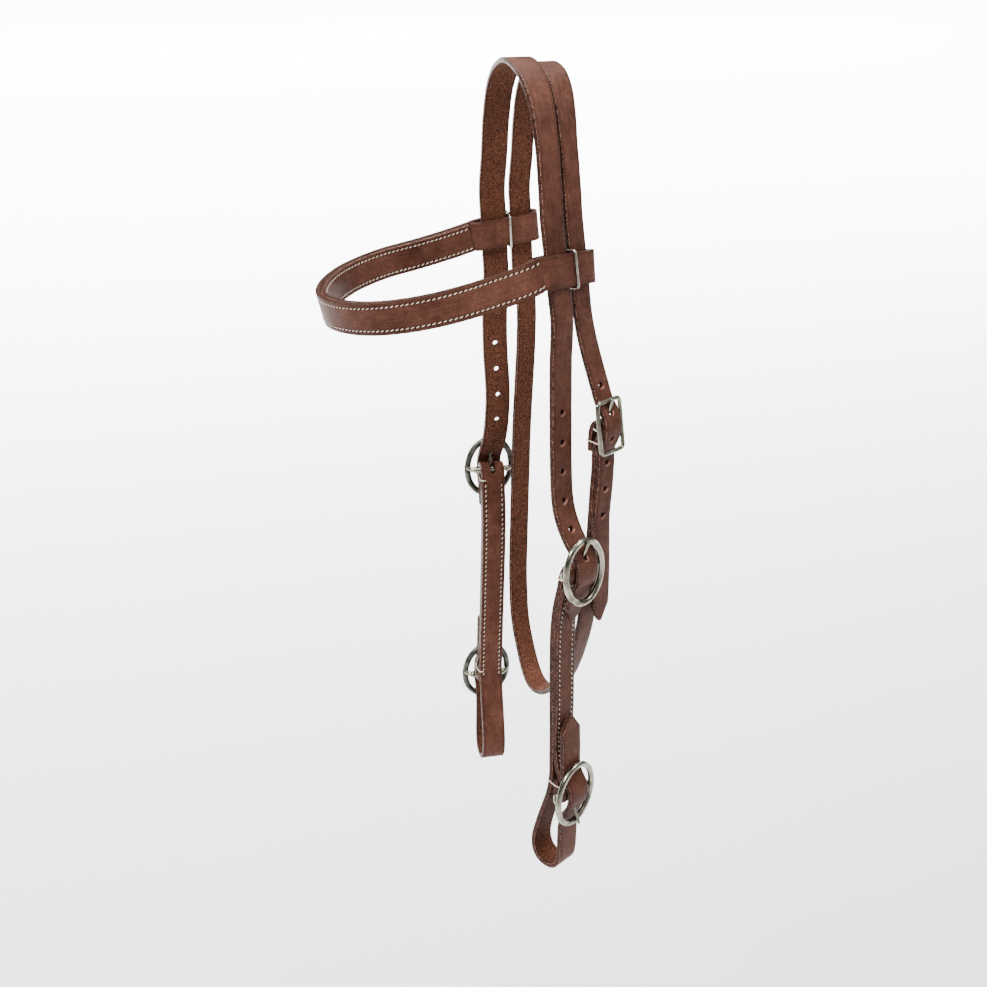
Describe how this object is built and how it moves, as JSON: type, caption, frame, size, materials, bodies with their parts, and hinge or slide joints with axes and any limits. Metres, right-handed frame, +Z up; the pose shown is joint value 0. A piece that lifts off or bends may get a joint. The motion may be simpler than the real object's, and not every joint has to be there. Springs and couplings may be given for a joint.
{
  "type": "western headstall",
  "caption": "Browband headstall for a horse: crown strap, stitched browband, throatlatch, doubled cheek pieces with looped bit ends, oval centre-bar buckles and wire keepers.",
  "frame": {"origin": "underside of the crown strap at the poll, on the middle line", "axes": "+Z up, -Y towards the horse's nose, +X to the horse's near (left) side"},
  "size_m": [0.2186, 0.1907, 0.5812],
  "materials": {
    "crown_strap_leather": "oiled, smooth grain outside and rough flesh side inside",
    "throatlatch_strap_leather": "oiled, smooth grain outside and rough flesh side inside",
    "throat_buckle_frame_metal": "polished nickel plate",
    "near_upper_buckle_frame_metal": "polished nickel plate",
    "far_upper_buckle_frame_metal": "polished nickel plate",
    "near_cheek_strap_leather": "oiled, smooth grain outside and rough flesh side inside",
    "near_lower_buckle_frame_metal": "polished nickel plate",
    "far_cheek_strap_leather": "oiled, smooth grain outside and rough flesh side inside",
    "far_lower_buckle_frame_metal": "polished nickel plate",
    "browband_outer_leather": "oiled, smooth grain outside and rough flesh side inside",
    "browband_lining_leather": "oiled, smooth grain outside and rough flesh side inside",
    "near_browband_keeper_metal": "polished nickel plate",
    "far_browband_keeper_metal": "polished nickel plate",
    "near_upper_buckle_tongue_metal": "polished nickel plate",
    "far_upper_buckle_tongue_metal": "polished nickel plate",
    "near_lower_buckle_tongue_metal": "polished nickel plate",
    "far_lower_buckle_tongue_metal": "polished nickel plate",
    "throat_buckle_tongue_metal": "polished nickel plate"
  },
  "bodies": {
    "crown": {"crown_strap": "crown_strap_leather", "throatlatch_strap": "throatlatch_strap_leather", "throat_buckle_frame": "throat_buckle_frame_metal", "near_upper_buckle_frame": "near_upper_buckle_frame_metal", "far_upper_buckle_frame": "far_upper_buckle_frame_metal"},
    "near_cheek": {"near_cheek_strap": "near_cheek_strap_leather", "near_lower_buckle_frame": "near_lower_buckle_frame_metal"},
    "far_cheek": {"far_cheek_strap": "far_cheek_strap_leather", "far_lower_buckle_frame": "far_lower_buckle_frame_metal"},
    "browband": {"browband_outer": "browband_outer_leather", "browband_lining": "browband_lining_leather"},
    "near_keeper": {"near_browband_keeper": "near_browband_keeper_metal"},
    "far_keeper": {"far_browband_keeper": "far_browband_keeper_metal"},
    "near_upper_tongue": {"near_upper_buckle_tongue": "near_upper_buckle_tongue_metal"},
    "far_upper_tongue": {"far_upper_buckle_tongue": "far_upper_buckle_tongue_metal"},
    "near_lower_tongue": {"near_lower_buckle_tongue": "near_lower_buckle_tongue_metal"},
    "far_lower_tongue": {"far_lower_buckle_tongue": "far_lower_buckle_tongue_metal"},
    "throat_tongue": {"throat_buckle_tongue": "throat_buckle_tongue_metal"}
  },
  "joints": [
    {"name": "near_cheek_swing", "type": "hinge", "parent": "crown", "child": "near_cheek", "pos_m": [0.09423, 0.01525, -0.3207], "axis": [-0.4999, 0.8658, 0.0209], "range_deg": [0, 15]},
    {"name": "far_cheek_swing", "type": "hinge", "parent": "crown", "child": "far_cheek", "pos_m": [-0.09619, 0.00952, -0.3207], "axis": [-0.0349, -0.9991, 0.0244], "range_deg": [0, 15]},
    {"name": "browband_slide", "type": "slide", "parent": "crown", "child": "browband", "axis": [0, 0.0872, -0.9962], "range_m": [-0.004, 0.004]},
    {"name": "near_keeper_slide", "type": "slide", "parent": "browband", "child": "near_keeper", "axis": [-0.5018, 0.8649, 0.0141], "range_m": [-0.0002, 0.0002]},
    {"name": "far_keeper_slide", "type": "slide", "parent": "browband", "child": "far_keeper", "axis": [0.045, 0.9956, 0.0816], "range_m": [-0.0002, 0.0002]},
    {"name": "near_upper_tongue_lift", "type": "hinge", "parent": "crown", "child": "near_upper_tongue", "pos_m": [0.09423, 0.01525, -0.3207], "axis": [-0.4999, 0.8658, 0.0209], "range_deg": [0, 8]},
    {"name": "far_upper_tongue_lift", "type": "hinge", "parent": "crown", "child": "far_upper_tongue", "pos_m": [-0.09619, 0.00952, -0.3207], "axis": [-0.0349, -0.9991, 0.0244], "range_deg": [0, 8]},
    {"name": "near_lower_tongue_lift", "type": "hinge", "parent": "near_cheek", "child": "near_lower_tongue", "pos_m": [0.08745, 0.0158, -0.50536], "axis": [0.4999, -0.8658, -0.0209], "range_deg": [0, 8]},
    {"name": "far_lower_tongue_lift", "type": "hinge", "parent": "far_cheek", "child": "far_lower_tongue", "pos_m": [-0.09075, 0.00482, -0.50535], "axis": [0.0349, 0.9991, -0.0244], "range_deg": [0, 8]},
    {"name": "throat_tongue_lift", "type": "hinge", "parent": "crown", "child": "throat_tongue", "pos_m": [0.0775, 0.0379, -0.2249], "axis": [-0.4847, 0.8745, 0.0175], "range_deg": [0, 8]}
  ]
}
